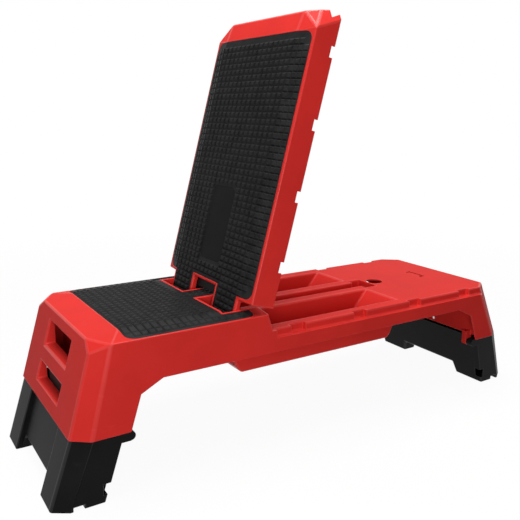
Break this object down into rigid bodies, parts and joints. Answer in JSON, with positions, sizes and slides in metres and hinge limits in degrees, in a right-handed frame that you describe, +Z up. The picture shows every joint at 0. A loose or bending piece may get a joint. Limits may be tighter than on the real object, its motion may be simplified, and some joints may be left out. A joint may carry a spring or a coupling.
{
  "type": "aerobic step platform",
  "caption": "Long moulded step bench with fold-out legs, a matted seat, a propped tilting backrest and storage bins under it.",
  "frame": {"origin": "centre of the footprint on the floor", "axes": "+X from the seat end to the bed end, +Z up, -Y the near long side in the picture"},
  "size_m": [1.094, 0.35, 0.797],
  "materials": {
    "red_shell": "satin moulded plastic",
    "black_shell": "satin moulded plastic",
    "mat_rubber": "moulded pyramid grip",
    "foot_rubber": "plain",
    "steel": "zinc plated",
    "bush_plastic": "plain",
    "badge_plastic": "smooth, bare"
  },
  "bodies": {
    "base": {"base_shell": "red_shell", "seat_mat": "mat_rubber", "hinge_rod": "steel", "hinge_caps": "steel", "prop_pin": "steel", "leg_left_pins": "steel", "leg_right_pins": "steel", "latch_left_guides": "steel", "latch_right_guides": "steel"},
    "backrest": {"backrest_shell": "red_shell", "backrest_mat": "mat_rubber", "badge_plate": "badge_plastic", "prop_rack": "black_shell", "rack_screws": "steel", "hinge_bushes": "bush_plastic", "backrest_clip": "black_shell"},
    "prop": {"prop_arm": "black_shell", "prop_bar": "steel", "prop_bush": "bush_plastic"},
    "leg_left": {"leg_left_shell": "black_shell", "leg_left_feet": "foot_rubber", "leg_left_bushes": "bush_plastic"},
    "latch_left": {"latch_left_plate": "black_shell"},
    "leg_right": {"leg_right_shell": "black_shell", "leg_right_feet": "foot_rubber", "leg_right_bushes": "bush_plastic"},
    "latch_right": {"latch_right_plate": "black_shell"}
  },
  "joints": [
    {"name": "backrest_tilt", "type": "hinge", "parent": "base", "child": "backrest", "pos_m": [-0.165, 0, 0.238], "axis": [0, -1, 0], "range_deg": [-75, 0]},
    {"name": "prop_swing", "type": "hinge", "parent": "base", "child": "prop", "pos_m": [-0.11687, 0, 0.228], "axis": [0, -1, 0], "range_deg": [-87.6, 0]},
    {"name": "leg_left_fold", "type": "hinge", "parent": "base", "child": "leg_left", "pos_m": [-0.414, 0, 0.109], "axis": [0, -1, 0], "range_deg": [0, 180]},
    {"name": "latch_left_push", "type": "slide", "parent": "base", "child": "latch_left", "axis": [1, 0, 0], "range_m": [0, 0.012], "stiffness_N_per_m": 400},
    {"name": "leg_right_fold", "type": "hinge", "parent": "base", "child": "leg_right", "pos_m": [0.414, 0, 0.109], "axis": [0, 1, 0], "range_deg": [0, 180]},
    {"name": "latch_right_push", "type": "slide", "parent": "base", "child": "latch_right", "axis": [-1, 0, 0], "range_m": [0, 0.012], "stiffness_N_per_m": 400}
  ],
  "couplings": [
    {"joint": "prop_swing", "follows": "backrest_tilt", "ratio": 1.169}
  ]
}
